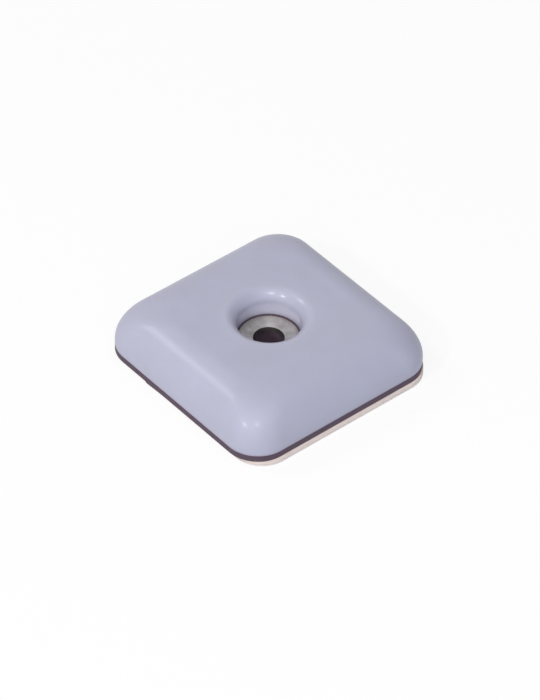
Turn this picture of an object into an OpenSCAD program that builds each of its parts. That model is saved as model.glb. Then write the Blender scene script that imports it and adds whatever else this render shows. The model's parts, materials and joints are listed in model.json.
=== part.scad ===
// Square furniture slider, lying glide face up on its release liner.
// From the bottom up: liner, adhesive coat, foam tape, adhesive coat, rubber core and glide shell,
// with a dished washer at the bottom of the recess for the screw's head.
// The origin is at the middle of the liner's underside, and +Z points out of the glide face.

/* [Overall] */
// Side of the square slider
side = 40; // [32:1:80]
// Radius of the corners of the shell and the core, seen from above
corner_r = 6; // [4:0.5:9]

/* [Glide shell] */
// Height of the shell from its rim to the glide face
shell_h = 8; // [7:0.5:14]
// Thickness of the shell's wall
shell_wall = 1.8; // [1:0.1:2.4]
// Upright band between the rim and the crowned edge
rim_land = 0.8; // [0.4:0.1:2]
// Distance that the crowned edge runs in from the side
crown_w = 7; // [4:0.5:8]
// Thickness of the sleeve around the recess for the screw's head
sleeve_wall = 1.6; // [1:0.1:2.5]
// Radius of the rounded mouth of the recess
mouth_r = 2.1; // [0.5:0.1:2.5]

/* [Cushion core] */
// Height of the core's flange, the dark band that shows under the shell
flange_h = 1.2; // [0.6:0.1:3]
// Height of the washer's seat above the shell's rim, at the washer's outer edge
seat_h = 2.2; // [1:0.1:3]
// Height of the core's lip above the washer's outer edge
pocket_lip = 0.1; // [0.05:0.05:0.4]

/* [Cup washer] */
// Outer diameter of the washer
washer_d = 10.4; // [8:0.2:12]
// Diameter of the screw hole in the washer
screw_hole_d = 5.3; // [3.5:0.1:6.4]
// Thickness of the washer's steel
washer_t = 1; // [0.6:0.1:1.6]
// Depth that the washer is dished
washer_dish = 0.3; // [0.1:0.05:0.6]
// Bevel around the top of the washer's hole and its outer edge
washer_bevel = 0.25; // [0.1:0.05:0.4]

/* [Clearances] */
// Gap between the washer and the wall of the recess
recess_gap = 0.25; // [0.25:0.05:1]
// Gap between the washer and the wall of its pocket in the core
pocket_gap = 0.05; // [0.02:0.01:0.15]
// Gap between a screw that fills the washer's hole and the hole in the core
screw_gap = 0.35; // [0.1:0.05:0.6]

/* [Foam tape and liner] */
// Thickness of the foam
foam_t = 0.9; // [0.4:0.1:3]
// Thickness of each adhesive coat
adhesive_t = 0.1; // [0.05:0.01:0.3]
// Thickness of the release liner
liner_t = 0.3; // [0.1:0.05:0.6]
// How much smaller than the slider the tape and the liner are cut
tape_margin = 1; // [0.5:0.1:3]
// How far off the middle the tape is stuck, towards +X and towards +Y
tape_shift = 0.5; // [0:0.05:0.5]
// Radius of the corners of the tape and the liner, seen from above
tape_corner_r = 5.5; // [4:0.5:9]
// Diameter of the hole in the tape and the liner, which leaves room around the screw
tape_hole_d = 8; // [7:0.5:12]

/* [Hidden] */

// Heights of the layers above the surface that the liner lies on
leg_adhesive_z = liner_t;
foam_z = leg_adhesive_z + adhesive_t;
core_adhesive_z = foam_z + foam_t;
core_z = core_adhesive_z + adhesive_t;
rim_z = core_z + flange_h;
glide_z = rim_z + shell_h;

// Washer, its seat and what lines up with it
washer_r = washer_d / 2;
screw_r = screw_hole_d / 2;
clear_r = screw_r + screw_gap;
pocket_r = washer_r + pocket_gap;
seat_z = rim_z + seat_h;
washer_top_z = seat_z + washer_t;

// Recess for the screw's head and the shell's sleeve around it, which stands on the core's lip
recess_r = washer_r + recess_gap;
sleeve_r = recess_r + sleeve_wall;
sleeve_z = washer_top_z + pocket_lip;

// Overrun of every cut past the face that it leaves
overrun = 1;

// Steps in a quarter turn of the shell's corners and of its crowned edge
corner_steps = 14;
crown_steps = 14;
// Steps in a full turn of the round pieces
round_steps = 96;

// How far the dished washer has dropped at a given radius
function dish_drop(r) = washer_dish * (washer_r - r) / (washer_r - screw_r);

// Points of a rounded square, anticlockwise from above
function rounded_square(s, r) = [
    for (quarter = [0:3], step = [0:corner_steps])
        let (
            turn = 90 * (quarter + step / corner_steps),
            centre = (s / 2 - r) * sqrt(2)
        )
        [
            centre * cos(90 * quarter + 45) + r * cos(turn),
            centre * sin(90 * quarter + 45) + r * sin(turn)
        ]
];

// Inset and height of each ring of a crowned block: an upright band, then a quarter of an ellipse
function crown_profile(land, w, h) = concat(
    [[0, 0]],
    [for (step = [0:crown_steps])
        let (turn = 90 * step / crown_steps)
        [w * (1 - cos(turn)), land + (h - land) * sin(turn)]]
);

// Rounded square block whose upper edge is crowned, with the same corner radius at every height
module crowned_block(s, r, land, w, h) {
    profile = crown_profile(land, w, h);
    rings = len(profile);
    n = len(rounded_square(s, r));
    points = [
        for (ring = profile)
            for (p = rounded_square(s - 2 * ring[0], r))
                [p[0], p[1], ring[1]]
    ];
    bottom = [for (j = [0:n - 1]) j];
    top = [for (j = [n - 1:-1:0]) (rings - 1) * n + j];
    sides = [
        for (i = [0:rings - 2], j = [0:n - 1])
            let (next = (j + 1) % n)
            [i * n + j, (i + 1) * n + j, (i + 1) * n + next, i * n + next]
    ];
    polyhedron(points, concat([bottom, top], sides), convexity = 4);
}

// Space inside the shell, which the core fills
module shell_inside() {
    translate([0, 0, rim_z])
        crowned_block(side - 2 * shell_wall, corner_r - shell_wall, rim_land,
                      crown_w - shell_wall, shell_h - shell_wall);
}

// Sleeve around the recess, as a solid plug
module sleeve_plug() {
    translate([0, 0, sleeve_z])
        cylinder(r = sleeve_r, h = glide_z - sleeve_z, $fn = round_steps);
}

// Recess for the screw's head, with its rounded mouth
module head_recess() {
    translate([0, 0, sleeve_z - overrun])
        cylinder(r = recess_r, h = glide_z - sleeve_z + 2 * overrun, $fn = round_steps);
    rotate_extrude($fn = round_steps)
        difference() {
            translate([0, glide_z - mouth_r])
                square([recess_r + mouth_r, mouth_r + overrun]);
            translate([recess_r + mouth_r, glide_z - mouth_r])
                circle(r = mouth_r, $fn = round_steps);
        }
}

// Flat layer with rounded corners and a round hole in its middle
module layer(z, thickness, s, r, hole_r) {
    inner = s - 2 * r;
    translate([0, 0, z])
        difference() {
            linear_extrude(thickness)
                union() {
                    square([s, inner], center = true);
                    square([inner, s], center = true);
                    for (x = [-1, 1], y = [-1, 1])
                        translate([x * inner / 2, y * inner / 2])
                            circle(r = r, $fn = round_steps);
                }
            translate([0, 0, -overrun])
                cylinder(r = hole_r, h = thickness + 2 * overrun, $fn = round_steps);
        }
}

// Layer of the tape or its liner, stuck a little off the middle
module tape_layer(z, thickness) {
    translate([tape_shift, tape_shift, 0])
        layer(z, thickness, side - tape_margin, tape_corner_r, tape_hole_d / 2);
}

// Pocket for the washer, with a floor dished like the washer
module washer_pocket() {
    rotate_extrude($fn = round_steps)
        polygon([
            [0, seat_z - dish_drop(0)],
            [washer_r, seat_z],
            [pocket_r, seat_z],
            [pocket_r, sleeve_z + overrun],
            [0, sleeve_z + overrun]
        ]);
}

// Moulded shell with the crowned edge, the glide face and the sleeve around the recess
module glide_shell() {
    color("#b6b7ca")
        difference() {
            translate([0, 0, rim_z])
                crowned_block(side, corner_r, rim_land, crown_w, shell_h);
            difference() {
                shell_inside();
                sleeve_plug();
            }
            head_recess();
        }
}

// Moulded rubber core: a flange under the shell's rim and a body that fills the shell
module cushion_core() {
    color("#3d3238")
        difference() {
            union() {
                layer(core_z, flange_h, side, corner_r, clear_r);
                shell_inside();
            }
            sleeve_plug();
            washer_pocket();
            translate([0, 0, core_z - overrun])
                cylinder(r = clear_r, h = glide_z - core_z, $fn = round_steps);
        }
}

// Dished steel washer under the screw's head
module cup_washer() {
    hole_top_r = screw_r + washer_bevel;
    rim_top_r = washer_r - washer_bevel;
    color("#a9a6a8")
        rotate_extrude($fn = round_steps)
            polygon([
                [screw_r, seat_z - washer_dish],
                [washer_r, seat_z],
                [washer_r, washer_top_z - washer_bevel],
                [rim_top_r, washer_top_z - dish_drop(rim_top_r)],
                [hole_top_r, washer_top_z - dish_drop(hole_top_r)],
                [screw_r, washer_top_z - washer_dish - washer_bevel]
            ]);
}

// Adhesive coat between the foam and the core
module core_adhesive() {
    color("#d9cdbd") tape_layer(core_adhesive_z, adhesive_t);
}

// Foam of the double-sided tape
module foam_tape() {
    color("#e3d2ca") tape_layer(foam_z, foam_t);
}

// Adhesive coat that sticks to the furniture leg
module leg_adhesive() {
    color("#d9cdbd") tape_layer(leg_adhesive_z, adhesive_t);
}

// Sheet that covers the adhesive until the slider is used
module release_liner() {
    color("#dcd0d0") tape_layer(0, liner_t);
}

glide_shell();
cushion_core();
cup_washer();
core_adhesive();
foam_tape();
leg_adhesive();
release_liner();
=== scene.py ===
# %% [markdown]
# # A square furniture slider
# The slider lies glide face up on its release liner. It is a stack of moulded and die-cut pieces, and
# every one of them is the same kind of shape: a small cross-section carried once round a rounded square
# or a circle. So one Geometry Nodes tree makes them all, and each lesson below only draws a section.
# The solid model is loaded first: its boxes give the heights, and each piece here replaces its solid.

# %% Load the frame
import bpy
import bmesh
import json
import math
from mathutils import Matrix, Vector


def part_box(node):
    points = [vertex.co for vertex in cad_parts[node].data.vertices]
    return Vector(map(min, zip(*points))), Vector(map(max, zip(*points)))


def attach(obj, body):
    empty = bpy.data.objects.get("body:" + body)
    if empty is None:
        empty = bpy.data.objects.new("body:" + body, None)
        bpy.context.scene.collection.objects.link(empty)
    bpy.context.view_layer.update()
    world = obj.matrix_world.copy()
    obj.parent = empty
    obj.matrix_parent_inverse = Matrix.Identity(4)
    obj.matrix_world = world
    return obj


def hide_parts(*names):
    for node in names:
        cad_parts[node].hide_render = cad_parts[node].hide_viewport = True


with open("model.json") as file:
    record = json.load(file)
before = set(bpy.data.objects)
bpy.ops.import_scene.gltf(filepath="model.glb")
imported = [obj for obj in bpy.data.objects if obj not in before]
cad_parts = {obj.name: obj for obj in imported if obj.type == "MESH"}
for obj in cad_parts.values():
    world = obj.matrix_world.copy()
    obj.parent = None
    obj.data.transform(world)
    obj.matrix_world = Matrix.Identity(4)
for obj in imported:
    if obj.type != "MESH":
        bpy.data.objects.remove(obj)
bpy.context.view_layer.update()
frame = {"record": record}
MM = 0.001

# %% [markdown]
# ## Sizes
# Heights and widths come from the boxes of the solids, and the two bores come from the record's mounts.
# What a box can't tell, such as a corner radius, is named here in millimetres, once.

# %% Sizes of the slider
mounts = {mount["name"]: mount for mount in frame["record"]["mounts"]}
shell_low, shell_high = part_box("glide_shell")
core_low, core_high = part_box("cushion_core")
washer_low, washer_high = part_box("cup_washer")

half_side = shell_high.x
rim_z = shell_low.z
glide_z = shell_high.z
core_z = core_low.z
core_top_z = core_high.z
shell_wall = glide_z - core_top_z

corner_r = 6.0 * MM
rim_land = 0.8 * MM
crown_w = 7.0 * MM
mouth_r = 2.1 * MM
sleeve_wall = 1.6 * MM

recess_r = mounts["head_recess"]["dims"]["r_mm"] * MM
recess_wall_h = mounts["head_recess"]["dims"]["length_mm"] * MM
sleeve_z = glide_z - mouth_r - recess_wall_h
sleeve_r = recess_r + sleeve_wall

screw_gap = 0.35 * MM
screw_r = mounts["screw_hole"]["dims"]["r_mm"] * MM
clear_r = screw_r + screw_gap
washer_r = washer_high.x
washer_t = 1.0 * MM
washer_dish = 0.3 * MM
pocket_gap = 0.05 * MM
seat_z = washer_low.z + washer_dish
print("rim, sleeve and glide face at, mm:", [round(z / MM, 2) for z in (rim_z, sleeve_z, glide_z)])

# %% [markdown]
# ## Camera
# The photograph was taken from a long way off with a long lens, from above one corner. The angles, the
# roll and the focal length come from fitting a pinhole camera to the slider's outline in the picture.
# The camera looks at the middle of the shell's rim, which sits a pixel or two off the picture's centre.

# %% Camera at the photograph's angle
PICTURE_LONG_SIDE = 700
CAMERA_AZIMUTH = math.radians(49.385)
CAMERA_ELEVATION = math.radians(42.468)
CAMERA_ROLL = math.radians(1.228)
CAMERA_SIDES_AWAY = 20
SIDE_PIXELS = 239.5
AIM_OFF_CENTRE_PIXELS = (-1.47, 0.47)
SENSOR_WIDTH_MM = 36
NEAREST_SEEN = 0.01


def camera_axes(azimuth, elevation, roll):
    """Right, up and back directions of a camera that looks down at the origin."""
    back = Vector((
        math.sin(azimuth) * math.cos(elevation),
        -math.cos(azimuth) * math.cos(elevation),
        math.sin(elevation),
    ))
    level_right = Vector((0, 0, 1)).cross(back).normalized()
    level_up = back.cross(level_right)
    right = math.cos(roll) * level_right + math.sin(roll) * level_up
    up = math.cos(roll) * level_up - math.sin(roll) * level_right
    return right, up, back


camera_data = bpy.data.cameras.new("photo_camera")
camera = bpy.data.objects.new("photo_camera", camera_data)
bpy.context.scene.collection.objects.link(camera)
right, up, back = camera_axes(CAMERA_AZIMUTH, CAMERA_ELEVATION, CAMERA_ROLL)
aim = Vector((0, 0, rim_z))
camera_place = aim + back * CAMERA_SIDES_AWAY * 2 * half_side
camera.matrix_world = Matrix.Translation(camera_place) @ Matrix((right, up, back)).transposed().to_4x4()
camera_data.sensor_width = SENSOR_WIDTH_MM
camera_data.lens = SENSOR_WIDTH_MM * SIDE_PIXELS * CAMERA_SIDES_AWAY / PICTURE_LONG_SIDE
camera_data.shift_x = -AIM_OFF_CENTRE_PIXELS[0] / PICTURE_LONG_SIDE
camera_data.shift_y = AIM_OFF_CENTRE_PIXELS[1] / PICTURE_LONG_SIDE
camera_data.clip_start = NEAREST_SEEN
bpy.context.scene.camera = camera
print("lens, mm:", round(camera_data.lens, 1), "camera", round(camera_place.length, 3), "m away")

# %% [markdown]
# ## Node helpers
# Trees of nodes are easier to read when a sum is one line. These helpers make a node, set it up, link
# whatever is a socket and type in whatever is a number.


# %% Helpers that build node trees
def put(tree, socket, value):
    """Links a socket to an input, or sets the input to a plain value."""
    if isinstance(value, bpy.types.NodeSocket):
        tree.links.new(value, socket)
    else:
        socket.default_value = value


def node(tree, kind, inputs=None, **settings):
    """A new node with its settings, and its inputs linked or set by name or number."""
    made = tree.nodes.new(kind)
    for name, value in settings.items():
        setattr(made, name, value)
    for name, value in (inputs or {}).items():
        put(tree, made.inputs[name], value)
    return made


def maths(tree, operation, a, b=0.0):
    """One Math node."""
    return node(tree, "ShaderNodeMath", {0: a, 1: b}, operation=operation).outputs[0]


def scaled(tree, vector, factor):
    """A vector times a number."""
    made = node(tree, "ShaderNodeVectorMath", {0: vector, "Scale": factor}, operation="SCALE")
    return made.outputs[0]


def summed(tree, a, b):
    """The sum of two vectors."""
    return node(tree, "ShaderNodeVectorMath", {0: a, 1: b}, operation="ADD").outputs[0]


def ramp(tree, value, low, high, out_low, out_high):
    """A straight ramp that stays level outside its two ends."""
    inputs = {0: value, 1: low, 2: high, 3: out_low, 4: out_high}
    return node(tree, "ShaderNodeMapRange", inputs, clamp=True).outputs[0]


def blended_vector(tree, factor, a, b):
    """A vector part of the way from one vector to another."""
    return node(tree, "ShaderNodeMix", {0: factor, 4: a, 5: b}, data_type="VECTOR").outputs[1]


def blended_colour(tree, factor, a, b):
    """A colour part of the way from one colour to another."""
    return node(tree, "ShaderNodeMix", {0: factor, 6: a, 7: b}, data_type="RGBA").outputs[2]


def group_socket(tree, name, kind, default=None, way="INPUT"):
    """A named socket on a node group."""
    made = tree.interface.new_socket(name, in_out=way, socket_type=kind)
    if default is not None:
        made.default_value = default


print("node helpers ready")

# %% [markdown]
# ## The tree that carries a section round the slider
# Each piece could be lofted by hand, but a rule is shorter and can't slip. The modifier's own mesh is the
# section: a row of points whose X is the inset from the slider's side, Y a radius and Z a height. One
# attribute gives the corner radius there, and another how round the piece is, from 0, on the rounded
# square, to 1, on a circle. A grid with one row for each step around and one column for each point is
# then bent into place. One quarter of the square is worked out with three ramps, and turned four times. A
# little noise can draw the outer edge in, as a knife that wandered would. Edges that bend sharply, such as
# those of a punched hole, stay crisp.

# %% Geometry Nodes tree: carry a section round a square
SIDE_STEPS = 24
CORNER_STEPS = 20
QUARTER_STEPS = 2 * SIDE_STEPS + CORNER_STEPS
CREASE_ANGLE = math.radians(35)
SEAM_GAP = 1e-7
SECTION_ATTRIBUTES = ("corner", "roundness")


def square_path(tree, step):
    """Point of a unit square and outward normal at a step around, as two vectors."""
    quarter = maths(tree, "FLOOR", maths(tree, "DIVIDE", step, QUARTER_STEPS))
    along = maths(tree, "SUBTRACT", step, maths(tree, "MULTIPLY", quarter, QUARTER_STEPS))
    x = ramp(tree, along, SIDE_STEPS + CORNER_STEPS, QUARTER_STEPS, 1.0, 0.0)
    y = ramp(tree, along, 0.0, SIDE_STEPS, 0.0, 1.0)
    turn = ramp(tree, along, SIDE_STEPS, SIDE_STEPS + CORNER_STEPS, 0.0, math.pi / 2)
    place = node(tree, "ShaderNodeCombineXYZ", {0: x, 1: y}).outputs[0]
    normal = node(tree, "ShaderNodeCombineXYZ", {
        0: maths(tree, "COSINE", turn),
        1: maths(tree, "SINE", turn),
    }).outputs[0]
    angle = maths(tree, "MULTIPLY", quarter, math.pi / 2)
    turned = []
    for vector in (place, normal):
        rotate = node(tree, "ShaderNodeVectorRotate", {"Vector": vector, "Angle": angle})
        rotate.rotation_type = "Z_AXIS"
        turned.append(rotate.outputs[0])
    return turned


def sampled(tree, section, column, value, kind):
    """A value of the section at the grid's column."""
    made = node(tree, "GeometryNodeSampleIndex", data_type=kind, domain="POINT")
    tree.links.new(section, made.inputs["Geometry"])
    tree.links.new(value, made.inputs["Value"])
    tree.links.new(column, made.inputs["Index"])
    return made.outputs[0]


def carry_tree():
    """Builds the tree once; every piece uses it with its own section and sizes."""
    tree = bpy.data.node_groups.new("carry section round square", "GeometryNodeTree")
    group_socket(tree, "Section", "NodeSocketGeometry")
    group_socket(tree, "Half Side", "NodeSocketFloat", 0.02)
    group_socket(tree, "Centre", "NodeSocketVector")
    group_socket(tree, "Wander", "NodeSocketFloat", 0.0)
    group_socket(tree, "Wander Size", "NodeSocketFloat", 0.002)
    group_socket(tree, "Seed", "NodeSocketFloat", 0.0)
    group_socket(tree, "Material", "NodeSocketMaterial")
    group_socket(tree, "Piece", "NodeSocketGeometry", way="OUTPUT")
    given = node(tree, "NodeGroupInput").outputs
    section = given["Section"]

    count = node(tree, "GeometryNodeAttributeDomainSize", {0: section}, component="MESH").outputs[0]
    grid = node(tree, "GeometryNodeMeshGrid", {"Vertices X": 4 * QUARTER_STEPS + 1, "Vertices Y": count})
    index = node(tree, "GeometryNodeInputIndex").outputs[0]
    step = maths(tree, "FLOOR", maths(tree, "DIVIDE", index, count))
    column = maths(tree, "SUBTRACT", index, maths(tree, "MULTIPLY", step, count))

    position = node(tree, "GeometryNodeInputPosition").outputs[0]
    point = sampled(tree, section, column, position, "FLOAT_VECTOR")
    values = {}
    for name in SECTION_ATTRIBUTES:
        field = node(tree, "GeometryNodeInputNamedAttribute", {"Name": name}, data_type="FLOAT")
        values[name] = sampled(tree, section, column, field.outputs[0], "FLOAT")
    inset, radius, height = node(tree, "ShaderNodeSeparateXYZ", {0: point}).outputs

    place, normal = square_path(tree, step)
    outside = maths(tree, "SUBTRACT", given["Half Side"], inset)
    straight = maths(tree, "SUBTRACT", outside, values["corner"])
    square = summed(tree, scaled(tree, place, straight), scaled(tree, normal, values["corner"]))
    spoke = node(tree, "ShaderNodeVectorMath", {0: summed(tree, place, normal)}, operation="NORMALIZE")
    circle = scaled(tree, spoke.outputs[0], radius)
    flat = blended_vector(tree, values["roundness"], square, circle)

    noise = node(tree, "ShaderNodeTexNoise", {
        "Vector": flat,
        "W": given["Seed"],
        "Scale": maths(tree, "DIVIDE", 1.0, given["Wander Size"]),
        "Detail": 3.0,
    }, noise_dimensions="4D").outputs[0]
    on_edge = maths(tree, "SUBTRACT", 1.0, values["roundness"])
    inward = maths(tree, "MULTIPLY", maths(tree, "MULTIPLY", noise, given["Wander"]), on_edge)
    drawn_in = summed(tree, flat, scaled(tree, normal, maths(tree, "MULTIPLY", inward, -1.0)))
    lifted = summed(tree, drawn_in, node(tree, "ShaderNodeCombineXYZ", {2: height}).outputs[0])
    moved = summed(tree, lifted, given["Centre"])

    bent = node(tree, "GeometryNodeSetPosition", {"Geometry": grid.outputs["Mesh"], "Position": moved})
    closed = node(tree, "GeometryNodeMergeByDistance", {"Geometry": bent.outputs[0], "Distance": SEAM_GAP})
    smooth = node(tree, "GeometryNodeSetShadeSmooth", {"Geometry": closed.outputs[0]})
    bend = node(tree, "GeometryNodeInputMeshEdgeAngle").outputs["Unsigned Angle"]
    creased = node(tree, "GeometryNodeSetShadeSmooth", {
        "Geometry": smooth.outputs[0],
        "Selection": maths(tree, "GREATER_THAN", bend, CREASE_ANGLE),
        "Shade Smooth": False,
    }, domain="EDGE")
    real = node(tree, "GeometryNodeRealizeInstances", {"Geometry": creased.outputs[0]})
    dressed = node(tree, "GeometryNodeSetMaterial", {
        "Geometry": real.outputs[0],
        "Material": given["Material"],
    })
    node(tree, "NodeGroupOutput", {"Piece": dressed.outputs[0]})
    return tree


carry = carry_tree()
print("tree has", len(carry.nodes), "nodes")

# %% [markdown]
# ## From a section to a finished piece
# The section becomes a small mesh with its attributes, the tree bends it, and the evaluated result is
# kept as a plain mesh. A closed shape that came out inside out has a negative volume, so its faces are
# turned round. Every piece then rides on its body and stands for its solid.

# %% Make a piece from a section
EDGE_STEPS = 5


def on_square(points, corner):
    """Section points that follow the rounded square, from (inset, height) pairs."""
    return [(inset, 0.0, z, corner, 0.0) for inset, z in points]


def on_circle(points):
    """Section points that follow a circle, from (radius, height) pairs."""
    return [(0.0, radius, z, 0.0, 1.0) for radius, z in points]


def between(square, circle, shares):
    """Points of a flat stretch that goes from a square point to a circle point, by shares of the way."""
    return [
        (square[0], circle[1], square[2] + (circle[2] - square[2]) * share, square[3], share)
        for share in shares
    ]


def arc(centre, size, start, end, steps):
    """Points on a quarter ellipse or part of one, with angles in degrees."""
    angles = [math.radians(start + (end - start) * step / steps) for step in range(steps + 1)]
    return [(centre[0] + size[0] * math.cos(a), centre[1] + size[1] * math.sin(a)) for a in angles]


def low_edge(z, edge):
    """Rounded lower edge of a side, as (inset, height) pairs from underneath to the side."""
    return arc((edge, z + edge), (edge, edge), 270, 180, EDGE_STEPS)


def top_edge(z, edge):
    """Rounded upper edge of a side, as (inset, height) pairs from the side to the top."""
    return arc((edge, z - edge), (edge, edge), 180, 90, EDGE_STEPS)


def set_inputs(modifier, values):
    """Sets a modifier's inputs by the identifiers of its sockets."""
    for item in modifier.node_group.interface.items_tree:
        if item.in_out == "INPUT" and item.name in values:
            modifier[item.identifier] = values[item.name]


def carried_piece(name, section, material, **sizes):
    """Carries a closed section round the slider and returns the piece as a plain mesh object."""
    points = section + section[:1]
    mesh = bpy.data.meshes.new(name + "_section")
    mesh.from_pydata([point[:3] for point in points], [], [])
    for offset, attribute in enumerate(SECTION_ATTRIBUTES):
        layer = mesh.attributes.new(attribute, "FLOAT", "POINT")
        layer.data.foreach_set("value", [point[3 + offset] for point in points])
    carrier = bpy.data.objects.new(name + "_section", mesh)
    bpy.context.scene.collection.objects.link(carrier)
    modifier = carrier.modifiers.new("carry", "NODES")
    modifier.node_group = carry
    values = {"Half Side": half_side, "Material": material}
    values.update({label.replace("_", " ").title(): value for label, value in sizes.items()})
    set_inputs(modifier, values)
    graph = bpy.context.evaluated_depsgraph_get()
    made = bpy.data.meshes.new_from_object(carrier.evaluated_get(graph), depsgraph=graph)
    made.name = name
    bpy.data.objects.remove(carrier)
    shape = bmesh.new()
    shape.from_mesh(made)
    if shape.calc_volume(signed=True) < 0:
        bmesh.ops.reverse_faces(shape, faces=shape.faces)
    open_edges = sum(1 for edge in shape.edges if len(edge.link_faces) != 2)
    cubic_mm = round(shape.calc_volume() / MM ** 3, 1)
    shape.to_mesh(made)
    shape.free()
    piece = bpy.data.objects.new(name, made)
    bpy.context.scene.collection.objects.link(piece)
    print(name, len(made.polygons), "faces,", cubic_mm, "mm3,", open_edges, "open edges")
    return piece


def stand_for(piece, solid, body):
    """The piece rides on its body and replaces its solid."""
    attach(piece, body)
    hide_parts(solid)


print("section helpers ready")

# %% [markdown]
# ## Shared effects for the finishes
# No moulded, rolled or cut surface is one flat colour. Three effects come back in several finishes, so
# each is a node group that is built once. Mottling drifts between a deep and a pale tone in soft patches
# with fine flecks. Grain gives a height for bumps, a fine one over a broad one. Scuffs are short straight
# scratches in two directions. They read Object coordinates, and their sizes are in millimetres.

# %% Node groups: mottling, grain and scuffs
SCUFF_ANGLES = (0.6, -0.9)


def effect_group(name, inputs, outputs):
    """A shader node group with named sockets, and the ends of its wires inside."""
    group = bpy.data.node_groups.new(name, "ShaderNodeTree")
    group_socket(group, "Place", "NodeSocketVector")
    for label, (kind, default) in inputs.items():
        group_socket(group, label, kind, default)
    for label, kind in outputs.items():
        group_socket(group, label, kind, way="OUTPUT")
    return group, node(group, "NodeGroupInput").outputs, node(group, "NodeGroupOutput").inputs


def noise_of_size(tree, place, size_mm, detail):
    """Noise whose patches are about as large as a size in millimetres."""
    scale = maths(tree, "DIVIDE", 1 / MM, size_mm)
    inputs = {"Vector": place, "Scale": scale, "Detail": detail}
    return node(tree, "ShaderNodeTexNoise", inputs).outputs[0]


def mottle_group():
    """A tint that drifts between a deep and a pale tone."""
    group, given, gives = effect_group("mottled tint", {
        "Deep": ("NodeSocketColor", (0.4, 0.4, 0.4, 1)),
        "Pale": ("NodeSocketColor", (0.6, 0.6, 0.6, 1)),
        "Patch Size": ("NodeSocketFloat", 5.0),
        "Fleck Size": ("NodeSocketFloat", 0.5),
        "Flecks": ("NodeSocketFloat", 0.3),
    }, {"Tint": "NodeSocketColor", "Patches": "NodeSocketFloat"})
    broad = noise_of_size(group, given["Place"], given["Patch Size"], 3.0)
    patches = ramp(group, broad, 0.3, 0.7, 0.0, 1.0)
    fine = noise_of_size(group, given["Place"], given["Fleck Size"], 1.0)
    flecks = maths(group, "MULTIPLY", maths(group, "SUBTRACT", fine, 0.5), given["Flecks"])
    both = ramp(group, maths(group, "ADD", patches, flecks), 0.0, 1.0, 0.0, 1.0)
    put(group, gives["Tint"], blended_colour(group, both, given["Deep"], given["Pale"]))
    put(group, gives["Patches"], patches)
    return group


def grain_group():
    """A height for bumps: a fine grain over a broad ripple."""
    group, given, gives = effect_group("moulded grain", {
        "Grain Size": ("NodeSocketFloat", 0.4),
        "Ripple Size": ("NodeSocketFloat", 3.0),
        "Ripple Share": ("NodeSocketFloat", 0.5),
    }, {"Height": "NodeSocketFloat"})
    fine = noise_of_size(group, given["Place"], given["Grain Size"], 2.0)
    broad = noise_of_size(group, given["Place"], given["Ripple Size"], 1.0)
    mixed = node(group, "ShaderNodeMix", {0: given["Ripple Share"], 2: fine, 3: broad}).outputs[0]
    put(group, gives["Height"], mixed)
    return group


def scuff_group():
    """A mask of short straight scratches in two directions."""
    group, given, gives = effect_group("fine scuffs", {
        "Length": ("NodeSocketFloat", 4.0),
        "Width": ("NodeSocketFloat", 0.15),
        "Amount": ("NodeSocketFloat", 0.5),
    }, {"Mask": "NodeSocketFloat"})
    along = maths(group, "DIVIDE", 1 / MM, given["Length"])
    across = maths(group, "DIVIDE", 1 / MM, given["Width"])
    stretch = node(group, "ShaderNodeCombineXYZ", {0: along, 1: across, 2: along}).outputs[0]
    masks = []
    for angle in SCUFF_ANGLES:
        turned = node(group, "ShaderNodeVectorRotate", {"Vector": given["Place"], "Angle": angle})
        turned.rotation_type = "Z_AXIS"
        factors = {0: turned.outputs[0], 1: stretch}
        vector = node(group, "ShaderNodeVectorMath", factors, operation="MULTIPLY").outputs[0]
        noise = node(group, "ShaderNodeTexNoise", {"Vector": vector, "Scale": 1.0, "Detail": 2.0})
        masks.append(ramp(group, noise.outputs[0], 0.6, 0.72, 0.0, 1.0))
    put(group, gives["Mask"], maths(group, "MULTIPLY", maths(group, "MAXIMUM", *masks), given["Amount"]))
    return group


mottle = mottle_group()
grain = grain_group()
scuffs = scuff_group()


def effect(tree, group, place, values):
    """A node group placed in a material, with its own values."""
    made = node(tree, "ShaderNodeGroup", node_tree=group)
    put(tree, made.inputs["Place"], place)
    for name, value in values.items():
        put(tree, made.inputs[name], value)
    return made.outputs


def finish(name):
    """A new material: its tree, its shader and the Object coordinates."""
    material = bpy.data.materials.new(name)
    material.use_nodes = True
    tree = material.node_tree
    place = node(tree, "ShaderNodeTexCoord").outputs["Object"]
    return material, tree, tree.nodes["Principled BSDF"].inputs, place


def axis_parts(tree, place):
    """The three coordinates of a place, and its distance from the slider's axis."""
    x, y, z = node(tree, "ShaderNodeSeparateXYZ", {0: place}).outputs
    level = node(tree, "ShaderNodeCombineXYZ", {0: x, 1: y}).outputs[0]
    radius = node(tree, "ShaderNodeVectorMath", {0: level}, operation="LENGTH").outputs["Value"]
    return x, y, z, radius


def by_patches(tree, tint, low, high):
    """A value that drifts with the patches of a mottled tint."""
    return ramp(tree, tint["Patches"], 0.0, 1.0, low, high)


def bumped(tree, height, depth):
    """A normal from a height and the depth of its relief in metres."""
    return node(tree, "ShaderNodeBump", {"Strength": 1.0, "Distance": depth, "Height": height}).outputs[0]


def colour(red, green, blue):
    """A colour with full opacity."""
    return (red, green, blue, 1.0)


print("effects:", ", ".join(group.name for group in (mottle, grain, scuffs)))
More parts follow.
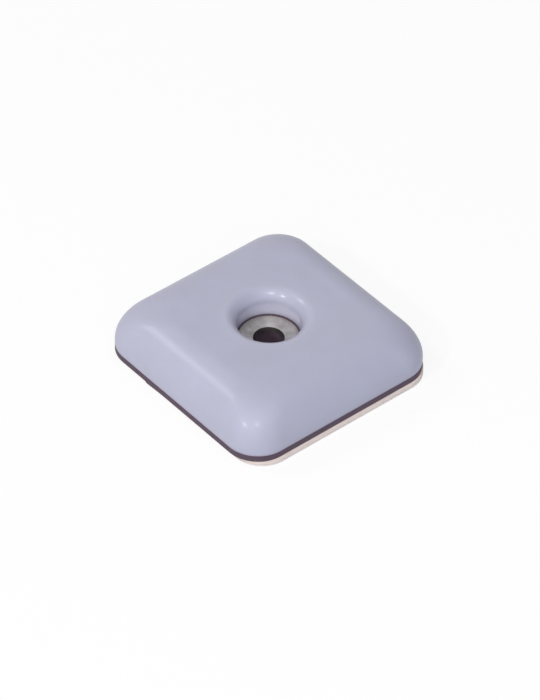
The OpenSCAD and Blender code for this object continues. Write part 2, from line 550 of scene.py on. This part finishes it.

# %% [markdown]
# ## Glide shell
# The shell is a low-friction plastic, sintered and moulded: waxy, pale lavender grey and only half
# glossy. Its tone drifts a little between blue and pink, its skin has a soft ripple, and its glide face
# has the first fine scuffs. Along the rim it is darkened by painted shade, in patches. Down in the recess
# it is painted paler: painted light that stands in for light the washer throws onto the wall. The
# refractive index is low, so highlights are mild. They come in two layers: a broad shine from the body
# of the plastic, and a tighter one from its smooth skin. That skin is a coat, nearly whole round the
# mouth of the recess and thinner elsewhere, most of all towards +X and +Y.

# %% Shell finish
PLASTIC_IOR = 1.35
mouth_edge_r = recess_r + mouth_r
recess_fade = 0.5 * MM
# Heights where the painted light in the recess is full and where it ends.
recess_light_full_z = sleeve_z + 2.0 * MM
recess_light_end_z = glide_z - 0.8 * MM
# Height of the painted shade along the rim.
rim_shade_h = 0.45 * MM
scuffs_start_z = glide_z - 0.5 * MM
scuffs_full_z = glide_z - 0.02 * MM
coat_fade = 1.5 * MM
handled_start = -2.0 * MM
handled_full = 1.0 * MM


def shell_material():
    """Waxy lavender-grey plastic."""
    material, tree, shader, place = finish("glide_shell_finish")
    x, y, z, radius = axis_parts(tree, place)
    tint = effect(tree, mottle, place, {
        "Deep": colour(0.440, 0.436, 0.556),
        "Pale": colour(0.452, 0.460, 0.583),
        "Patch Size": 6.0,
        "Fleck Size": 0.5,
        "Flecks": 0.6,
    })
    # Painted light: inside the mouth the wall is painted paler, most towards the recess floor.
    near_axis = ramp(tree, radius, mouth_edge_r, mouth_edge_r + recess_fade, 1.0, 0.0)
    deep_down = ramp(tree, z, recess_light_full_z, recess_light_end_z, 0.8, 0.0)
    recess_painted_light = maths(tree, "MULTIPLY", near_axis, deep_down)
    tint_with_recess_light = blended_colour(tree, recess_painted_light, tint["Tint"], colour(0.60, 0.60, 0.735))
    # Painted shade: darker along the rim where the shell meets the rubber, in patches; it also thins the
    # coat.
    at_rim = ramp(tree, z, rim_z, rim_z + rim_shade_h, 0.85, 0.0)
    rim_painted_shade = maths(tree, "MULTIPLY", at_rim, by_patches(tree, tint, 0.7, 1.0))
    put(tree, shader["Base Color"], blended_colour(tree, rim_painted_shade, tint_with_recess_light, colour(0.26, 0.22, 0.29)))
    put(tree, shader["Roughness"], by_patches(tree, tint, 0.46, 0.54))
    put(tree, shader["IOR"], PLASTIC_IOR)
    skin = effect(tree, grain, place, {"Grain Size": 0.35, "Ripple Size": 2.2, "Ripple Share": 0.75})
    put(tree, shader["Normal"], bumped(tree, skin["Height"], depth=0.012 * MM))

    on_glide_face = ramp(tree, z, scuffs_start_z, scuffs_full_z, 0.0, 1.0)
    scratches = effect(tree, scuffs, place, {"Length": 5.0, "Width": 0.12, "Amount": 0.6})["Mask"]
    scuffs_and_rim_shade = maths(tree, "ADD", maths(tree, "MULTIPLY", scratches, on_glide_face), rim_painted_shade)
    handled = ramp(tree, maths(tree, "ADD", x, y), handled_start, handled_full, 0.38, 0.22)
    unworn = ramp(tree, radius, mouth_edge_r, mouth_edge_r + coat_fade, 0.9, handled)
    coat = maths(tree, "MULTIPLY", unworn, ramp(tree, scuffs_and_rim_shade, 0.0, 1.0, 1.0, 0.0))
    put(tree, shader["Coat Weight"], coat)
    put(tree, shader["Coat Roughness"], 0.22)
    put(tree, shader["Coat IOR"], PLASTIC_IOR)
    return material


shell_finish = shell_material()
print("shell finish has", len(shell_finish.node_tree.nodes), "nodes")

# %% [markdown]
# The shell's section starts under the rim, turns up the land and the crown, crosses the glide face, goes
# round the mouth and down the recess, then comes back through the inside, where the core fills it. A
# bevelled box would give the wrong crown: the real one is a quarter ellipse, with the same corner radius
# at every height. The mouth isn't a plain quarter round either: it bends least halfway down, which makes
# its highlights taller.

# %% Shell section
CROWN_STEPS = 40
MOUTH_STEPS = 32
INSIDE_STEPS = 16
MOUTH_FLATNESS = 0.8
MOUTH_FLAT_SPREAD = 0.27
LAND_SHARE = 0.7
FLAT_SHARES = (0.03, 0.1, 0.25, 0.45, 0.65, 0.82, 0.93, 0.985)
BACK_SHARES = (0.75, 0.5, 0.25)
rim_edge = 0.12 * MM
sleeve_edge_w = 0.05 * MM
sleeve_edge_h = 0.1 * MM
crown_start_z = rim_z + rim_land
crown_h = glide_z - crown_start_z
inside_corner = corner_r - shell_wall


def soft_chamfer(corner, size):
    """Profile from a flat top to an upright wall, which bends least halfway."""
    turns = [math.pi / 2 * (step + 0.5) / MOUTH_STEPS for step in range(MOUTH_STEPS)]
    halfway = [math.exp(-((turn - math.pi / 4) / MOUTH_FLAT_SPREAD) ** 2) for turn in turns]
    lengths = [1 + MOUTH_FLATNESS * share for share in halfway]
    across = [length * math.cos(turn) for turn, length in zip(turns, lengths)]
    down = [length * math.sin(turn) for turn, length in zip(turns, lengths)]
    points = [(corner[0] + size, corner[1])]
    for step in range(MOUTH_STEPS):
        points.append((
            points[-1][0] - size * across[step] / sum(across),
            points[-1][1] - size * down[step] / sum(down),
        ))
    return points


rim = low_edge(rim_z, rim_edge)
crown = arc((crown_w, crown_start_z), (crown_w, crown_h), 180, 90, CROWN_STEPS)
mouth = soft_chamfer((recess_r, glide_z), mouth_r)
inside_size = (crown_w - shell_wall, core_top_z - crown_start_z)
inside_crown = arc((crown_w, crown_start_z), inside_size, 90, 180, INSIDE_STEPS)
sleeve = [
    (recess_r, sleeve_z + recess_wall_h / 2),
    (recess_r, sleeve_z + sleeve_edge_h),
    (recess_r + sleeve_edge_w, sleeve_z),
    (sleeve_r, sleeve_z),
    (sleeve_r, core_top_z),
]

outer = on_square(rim + [(0.0, rim_z + rim_land * LAND_SHARE)] + crown, corner_r)
well = on_circle(mouth + sleeve)
inner = on_square(inside_crown + [(shell_wall, rim_z)], inside_corner)
shell_section = outer + between(outer[-1], well[0], FLAT_SHARES) + well
shell_section += between(inner[0], well[-1], BACK_SHARES) + inner

glide_shell = carried_piece("glide_shell_moulding", shell_section, shell_finish)
stand_for(glide_shell, "glide_shell", "slider")

# %% [markdown]
# ## Cushion core
# The core is one moulding of dark, brownish rubber. Only its flange shows, as the band under the shell,
# and the wall of the screw hole. Rubber has a fine matt grain, and its edges look a little paler where
# they have rubbed.


# %% Rubber finish
def rubber_material():
    """Matt brownish-black rubber."""
    material, tree, shader, place = finish("core_rubber_finish")
    tint = effect(tree, mottle, place, {
        "Deep": colour(0.068, 0.042, 0.066),
        "Pale": colour(0.096, 0.063, 0.093),
        "Patch Size": 2.0,
        "Fleck Size": 0.25,
        "Flecks": 0.8,
    })
    rubbed = effect(tree, scuffs, place, {"Length": 2.5, "Width": 0.2, "Amount": 0.5})["Mask"]
    put(tree, shader["Base Color"], blended_colour(tree, rubbed, tint["Tint"], colour(0.13, 0.105, 0.12)))
    put(tree, shader["Roughness"], by_patches(tree, tint, 0.55, 0.72))
    skin = effect(tree, grain, place, {"Grain Size": 0.12, "Ripple Size": 0.8, "Ripple Share": 0.4})
    put(tree, shader["Normal"], bumped(tree, skin["Height"], depth=0.015 * MM))
    put(tree, shader["Specular IOR Level"], 0.35)
    return material


rubber_finish = rubber_material()
print("rubber finish has", len(rubber_finish.node_tree.nodes), "nodes")

# %% [markdown]
# The core's section goes round the flange, up inside the shell, down the socket for the sleeve, over the
# lip and the washer's pocket, and down the screw hole. Where the two halves of the mould met on one side,
# a thin tag of rubber hangs from the flange, steep at one end and fading at the other. It is the only
# mark that breaks the rule, so it is made by moving a few points afterwards.

# %% Core section and its flash
UNDER_SHARES = BACK_SHARES + (0.05,)
FLASH_START = -7.6 * MM
FLASH_LENGTH = 4.0 * MM
FLASH_DROP = 0.22 * MM
FLASH_REACH = 0.4 * MM
flange_top_edge = 0.15 * MM
flange_low_edge = 0.12 * MM
pocket_edge = 0.05 * MM
pocket_r = washer_r + pocket_gap


def seat_at(radius):
    """Height of the washer's seat at a radius."""
    return seat_z - washer_dish * (washer_r - radius) / (washer_r - screw_r)


socket = [
    (sleeve_r, core_top_z),
    (sleeve_r, sleeve_z),
    (pocket_r + pocket_edge, sleeve_z),
    (pocket_r, sleeve_z - pocket_edge),
    (pocket_r, seat_z),
    (clear_r, seat_at(clear_r)),
    (clear_r, core_z),
]
flange = on_square(low_edge(core_z, flange_low_edge) + top_edge(rim_z, flange_top_edge), corner_r)
body = on_square([(shell_wall, rim_z)] + inside_crown[::-1], inside_corner)
bore = on_circle(socket)
core_section = flange + body + between(body[-1], bore[0], BACK_SHARES[::-1]) + bore
core_section += between(flange[0], bore[-1], UNDER_SHARES)
cushion_core = carried_piece("cushion_core_moulding", core_section, rubber_finish)

hanging = 0
for vertex in cushion_core.data.vertices:
    along = (vertex.co.x - FLASH_START) / FLASH_LENGTH
    on_low_edge = vertex.co.y < -half_side + FLASH_REACH and vertex.co.z < core_z + flange_low_edge
    if 0 <= along <= 1 and on_low_edge:
        vertex.co.z -= FLASH_DROP * (1 - along)
        hanging += 1
print("flash made from", hanging, "points")
stand_for(cushion_core, "cushion_core", "slider")

# %% [markdown]
# ## Cup washer
# The washer is pressed from zinc-plated steel and dished a little. It was turned before it was plated, so
# it has faint rings, and its shine stretches into a streak across them: that is anisotropy, along a
# tangent that runs round the axis. The zinc is dull and blotchy, and brownish near the outer edge. The
# wall of the bore is painted dark, as painted shade down in the hole.

# %% Washer finish
RING_RELIEF = 0.12
ring_spacing = 0.22 * MM
brown_start_r = washer_r - 1.0 * MM
brown_full_r = washer_r - 0.2 * MM
# Radii where the painted shade in the bore is full and where it ends.
bore_shade_full_r = screw_r + 0.005 * MM
bore_shade_end_r = screw_r + 0.03 * MM


def steel_material():
    """Dull zinc-plated steel with turned rings."""
    material, tree, shader, place = finish("washer_steel_finish")
    radius = axis_parts(tree, place)[-1]
    tint = effect(tree, mottle, place, {
        "Deep": colour(0.323, 0.306, 0.306),
        "Pale": colour(0.447, 0.43, 0.423),
        "Patch Size": 1.2,
        "Fleck Size": 0.2,
        "Flecks": 0.5,
    })
    # Brownish towards the outer edge, in patches.
    near_edge = ramp(tree, radius, brown_start_r, brown_full_r, 0.0, 0.5)
    brown_near_edge = maths(tree, "MULTIPLY", near_edge, tint["Patches"])
    zinc = blended_colour(tree, brown_near_edge, tint["Tint"], colour(0.36, 0.29, 0.22))
    # Painted shade: the wall of the bore is painted dark.
    bore_painted_shade = ramp(tree, radius, bore_shade_full_r, bore_shade_end_r, 1.0, 0.0)
    put(tree, shader["Base Color"], blended_colour(tree, bore_painted_shade, zinc, colour(0.11, 0.10, 0.10)))
    put(tree, shader["Roughness"], by_patches(tree, tint, 0.5, 0.4))
    rings = maths(tree, "SINE", maths(tree, "MULTIPLY", radius, 2 * math.pi / ring_spacing))
    skin = effect(tree, grain, place, {"Grain Size": 0.1, "Ripple Size": 0.6, "Ripple Share": 0.5})
    relief = maths(tree, "ADD", maths(tree, "MULTIPLY", rings, RING_RELIEF), skin["Height"])
    put(tree, shader["Normal"], bumped(tree, relief, depth=0.006 * MM))
    put(tree, shader["Metallic"], 1.0)
    put(tree, shader["Anisotropic"], 0.8)
    put(tree, shader["Anisotropic Rotation"], 0.25)
    round_axis = node(tree, "ShaderNodeTangent", direction_type="RADIAL", axis="Z").outputs[0]
    put(tree, shader["Tangent"], round_axis)
    return material


steel_finish = steel_material()
print("washer finish has", len(steel_finish.node_tree.nodes), "nodes")

# %% [markdown]
# The washer's section is a tilted strip with a rounded outer edge, which ends where the tilted face
# begins. Pressing has raised a very low bead round the hole. Its points are given in millimetres: how far
# out from the hole's wall, and how high above the strip.

# %% Washer section
BEAD_MM = (
    (0.6, 0.0), (0.4, 0.01), (0.25, 0.018), (0.1, 0.016), (0.03, 0.008), (0.01, -0.002), (0.0, -0.03),
)
ROUND_END_DEGREES = 84
ROUND_STEPS = 8
rim_round = 0.1 * MM
strip_r = washer_r - 0.8 * MM


def washer_top(radius):
    """Height of the washer's upper face at a radius, without the bead."""
    return seat_at(radius) + washer_t


round_centre = (washer_r - rim_round, washer_top(washer_r) - rim_round)
outer_edge = arc(round_centre, (rim_round, rim_round), 0, ROUND_END_DEGREES, ROUND_STEPS)
bead = [(screw_r + out * MM, washer_top(screw_r + out * MM) + rise * MM) for out, rise in BEAD_MM]
washer_section = on_circle([(screw_r, seat_at(screw_r)), (washer_r, seat_z)] + outer_edge)
washer_section += on_circle([(strip_r, washer_top(strip_r))] + bead)
cup_washer = carried_piece("cup_washer_pressing", washer_section, steel_finish)
stand_for(cup_washer, "cup_washer", "slider")

# %% [markdown]
# ## Tape and liner
# The double-sided tape is cream closed-cell foam with an adhesive coat on each face, and a siliconised
# paper liner covers the lower one. Foam shows cut cells, painted darker in their pits as painted shade,
# adhesive is smooth and slightly glossy, and paper has fibres.

# %% Foam, adhesive and liner finishes
foam_cell = 0.22 * MM


def foam_material():
    """Cream closed-cell foam with cut cells."""
    material, tree, shader, place = finish("foam_tape_finish")
    tint = effect(tree, mottle, place, {
        "Deep": colour(0.85, 0.73, 0.69),
        "Pale": colour(0.91, 0.80, 0.755),
        "Patch Size": 1.5,
        "Fleck Size": 0.3,
        "Flecks": 1.0,
    })
    voronoi = node(tree, "ShaderNodeTexVoronoi", {"Vector": place, "Scale": 1 / foam_cell})
    cells = voronoi.outputs["Distance"]
    # Painted shade: the middle of each cut cell, a pit in the bump, is painted darker.
    cell_painted_shade = ramp(tree, cells, 0.0, 0.45, 0.25, 0.0)
    put(tree, shader["Base Color"], blended_colour(tree, cell_painted_shade, tint["Tint"], colour(0.70, 0.56, 0.50)))
    put(tree, shader["Roughness"], by_patches(tree, tint, 0.8, 0.95))
    put(tree, shader["Normal"], bumped(tree, cells, depth=0.04 * MM))
    put(tree, shader["Specular IOR Level"], 0.25)
    return material


def adhesive_material():
    """Tacky, faintly amber adhesive coat."""
    material, tree, shader, place = finish("adhesive_finish")
    tint = effect(tree, mottle, place, {
        "Deep": colour(0.69, 0.57, 0.52),
        "Pale": colour(0.74, 0.62, 0.57),
        "Patch Size": 4.0,
        "Fleck Size": 0.3,
        "Flecks": 0.4,
    })
    put(tree, shader["Base Color"], tint["Tint"])
    put(tree, shader["Roughness"], by_patches(tree, tint, 0.2, 0.4))
    skin = effect(tree, grain, place, {"Grain Size": 0.3, "Ripple Size": 1.5, "Ripple Share": 0.7})
    put(tree, shader["Normal"], bumped(tree, skin["Height"], depth=0.02 * MM))
    return material


def liner_material():
    """Siliconised paper with fibres in two directions."""
    material, tree, shader, place = finish("release_liner_finish")
    tint = effect(tree, mottle, place, {
        "Deep": colour(0.75, 0.69, 0.685),
        "Pale": colour(0.81, 0.75, 0.745),
        "Patch Size": 3.0,
        "Fleck Size": 0.25,
        "Flecks": 0.8,
    })
    fibres = effect(tree, scuffs, place, {"Length": 1.6, "Width": 0.1, "Amount": 0.35})["Mask"]
    put(tree, shader["Base Color"], blended_colour(tree, fibres, tint["Tint"], colour(0.62, 0.54, 0.53)))
    put(tree, shader["Roughness"], by_patches(tree, tint, 0.45, 0.58))
    put(tree, shader["Normal"], bumped(tree, fibres, depth=0.008 * MM))
    return material


foam_finish = foam_material()
adhesive_finish = adhesive_material()
liner_finish = liner_material()
print("tape finishes:", foam_finish.name, adhesive_finish.name, liner_finish.name)

# %% [markdown]
# All four layers are die-cut a little smaller than the slider, and stuck on by hand a little off the
# middle, so they are flush on one side and tuck under on the other. Their boxes give that place. The cut
# wanders by about a tenth of a millimetre at most, and the foam's edges are the most rounded. Each row of
# the table has a layer's solid, body, slot and finish, then its edge rounding and its wander.

# %% Die-cut layers
LAYER_SHARES = (0.05, 0.3, 0.6)
tape_corner_r = 5.5 * MM
tape_hole_r = 4.0 * MM
cut_wave = 2.5 * MM


def layer_section(low_z, high_z, edge):
    """Section of a flat layer from its rounded outer edge to its hole."""
    rim = on_square(low_edge(low_z, edge) + top_edge(high_z, edge), tape_corner_r)
    hole = on_circle([(tape_hole_r, high_z), (tape_hole_r, low_z)])
    section = rim + between(rim[-1], hole[0], LAYER_SHARES) + hole
    return section + between(rim[0], hole[1], LAYER_SHARES[::-1])


LAYERS = (
    ("core_adhesive", "slider", "adhesive", adhesive_finish, 0.03 * MM, 0.12 * MM),
    ("foam_tape", "slider", "foam", foam_finish, 0.1 * MM, 0.08 * MM),
    ("leg_adhesive", "slider", "adhesive", adhesive_finish, 0.03 * MM, 0.12 * MM),
    ("release_liner", "liner", "liner_paper", liner_finish, 0.05 * MM, 0.06 * MM),
)
layers = {}
for seed, (solid, body, slot, material, edge, wander) in enumerate(LAYERS):
    low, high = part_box(solid)
    middle = (low + high) / 2
    layers[solid] = carried_piece(
        solid + "_cut", layer_section(low.z, high.z, edge), material,
        half_side=(high.x - low.x) / 2, centre=(middle.x, middle.y, 0.0),
        wander=wander, wander_size=cut_wave, seed=float(seed),
    )
    stand_for(layers[solid], solid, body)

# %% [markdown]
# ## Floor and surround
# The slider lies on white paper in a bright, even surround. Rays that light the slider meet a darker
# surround and paper than the camera does, so the picture's white doesn't flood the slider with light.
# The paper's glow stops short of the middle, so the screw hole stays dark, and the paper still takes the
# slider's shadow.

# %% Floor and world
FLOOR_HALF = 4.0
FLOOR_DROP = 0.02 * MM
SURROUND = 0.24
PAPER_BOUNCE = 0.86
PAPER_GLOW = 0.85
glow_start_r = 0.5 * half_side
glow_full_r = 0.8 * half_side


def seen_directly(tree):
    """One for rays that show the background, straight or in a reflection, and nought for light."""
    path = node(tree, "ShaderNodeLightPath").outputs
    shown = maths(tree, "MAXIMUM", path["Is Camera Ray"], path["Is Glossy Ray"])
    return maths(tree, "MAXIMUM", shown, path["Is Transmission Ray"])


def paper_material():
    """White paper whose picture is part glow, outside the slider, so that its shadow stays soft."""
    material = bpy.data.materials.new("white_paper")
    material.use_nodes = True
    tree = material.node_tree
    tree.nodes.remove(tree.nodes["Principled BSDF"])
    lit = node(tree, "ShaderNodeBsdfDiffuse", {"Color": colour(PAPER_BOUNCE, PAPER_BOUNCE, PAPER_BOUNCE)})
    white = node(tree, "ShaderNodeBsdfDiffuse", {"Color": colour(1.0, 1.0, 1.0)})
    glow = node(tree, "ShaderNodeEmission", {"Color": colour(1.0, 1.0, 1.0), "Strength": 1.0})
    place = node(tree, "ShaderNodeTexCoord").outputs["Object"]
    distance = node(tree, "ShaderNodeVectorMath", {0: place}, operation="LENGTH").outputs["Value"]
    share = ramp(tree, distance, glow_start_r, glow_full_r, 0.0, PAPER_GLOW)
    picture = node(tree, "ShaderNodeMixShader", {0: share, 1: white.outputs[0], 2: glow.outputs[0]})
    shown = seen_directly(tree)
    both = node(tree, "ShaderNodeMixShader", {0: shown, 1: lit.outputs[0], 2: picture.outputs[0]})
    put(tree, tree.nodes["Material Output"].inputs["Surface"], both.outputs[0])
    return material


floor_mesh = bpy.data.meshes.new("floor")
signs = ((-1, -1), (1, -1), (1, 1), (-1, 1))
floor_corners = [(x * FLOOR_HALF, y * FLOOR_HALF, -FLOOR_DROP) for x, y in signs]
floor_mesh.from_pydata(floor_corners, [], [(0, 1, 2, 3)])
floor_mesh.materials.append(paper_material())
floor = bpy.data.objects.new("floor", floor_mesh)
bpy.context.scene.collection.objects.link(floor)

world = bpy.data.worlds.new("studio")
world.use_nodes = True
bpy.context.scene.world = world
sky = world.node_tree.nodes["Background"].inputs
sky["Color"].default_value = colour(1.0, 1.0, 1.0)
shown = seen_directly(world.node_tree)
put(world.node_tree, sky["Strength"], ramp(world.node_tree, shown, 0.0, 1.0, SURROUND, 1.0))
bpy.context.scene.view_settings.view_transform = "Standard"
print("floor and surround ready")

# %% [markdown]
# ## Lamps
# The highlights in the photograph tell where the lamps stood: a line from the camera to a highlight,
# reflected in the surface there, points at the lamp. One small lamp was just above the camera, one to its
# left, and a larger one high on the left. Two softboxes, one round the camera and a weak one opposite,
# fill the shadows. A third, low on the right, is weak and cool, because that side is a touch bluer than
# the rest. The strengths come from how bright the sides, the top and the recess are.

# %% Lamps and softboxes
LAMP_DISTANCE = 1.0


def round_lamp(name, direction, size, brightness, tint=(1.0, 1.0, 1.0)):
    """A round area lamp; brightness is what it adds to a white surface that faces it."""
    data = bpy.data.lights.new(name, "AREA")
    data.shape = "DISK"
    data.size = size
    data.color = tint
    data.energy = brightness * (math.pi * LAMP_DISTANCE) ** 2
    lamp = bpy.data.objects.new(name, data)
    bpy.context.scene.collection.objects.link(lamp)
    away = Vector(direction).normalized()
    lamp.location = away * LAMP_DISTANCE
    lamp.rotation_mode = "QUATERNION"
    lamp.rotation_quaternion = away.to_track_quat("Z", "Y")


def from_camera(across, above, behind):
    """A direction given by its shares along the camera's right, up and back."""
    return right * across + up * above + back * behind


round_lamp("lamp_at_camera", from_camera(-0.05, 0.14, 1.0), size=0.08, brightness=0.2)
round_lamp("softbox_at_camera", from_camera(-0.06, 0.1, 1.0), size=1.1, brightness=0.38)
round_lamp("lamp_front_left", from_camera(-0.52, 0.08, 0.85), size=0.08, brightness=0.23)
round_lamp("lamp_high_left", (-0.62, -0.41, 0.7), size=0.24, brightness=0.165)
round_lamp("softbox_behind", (-back.x, -back.y, 0.62), size=1.1, brightness=0.07)
round_lamp("softbox_right", (0.9, 0.15, 0.25), size=0.8, brightness=0.06, tint=(0.35, 0.55, 1.0))
print("lamps:", [light.name for light in bpy.data.lights])
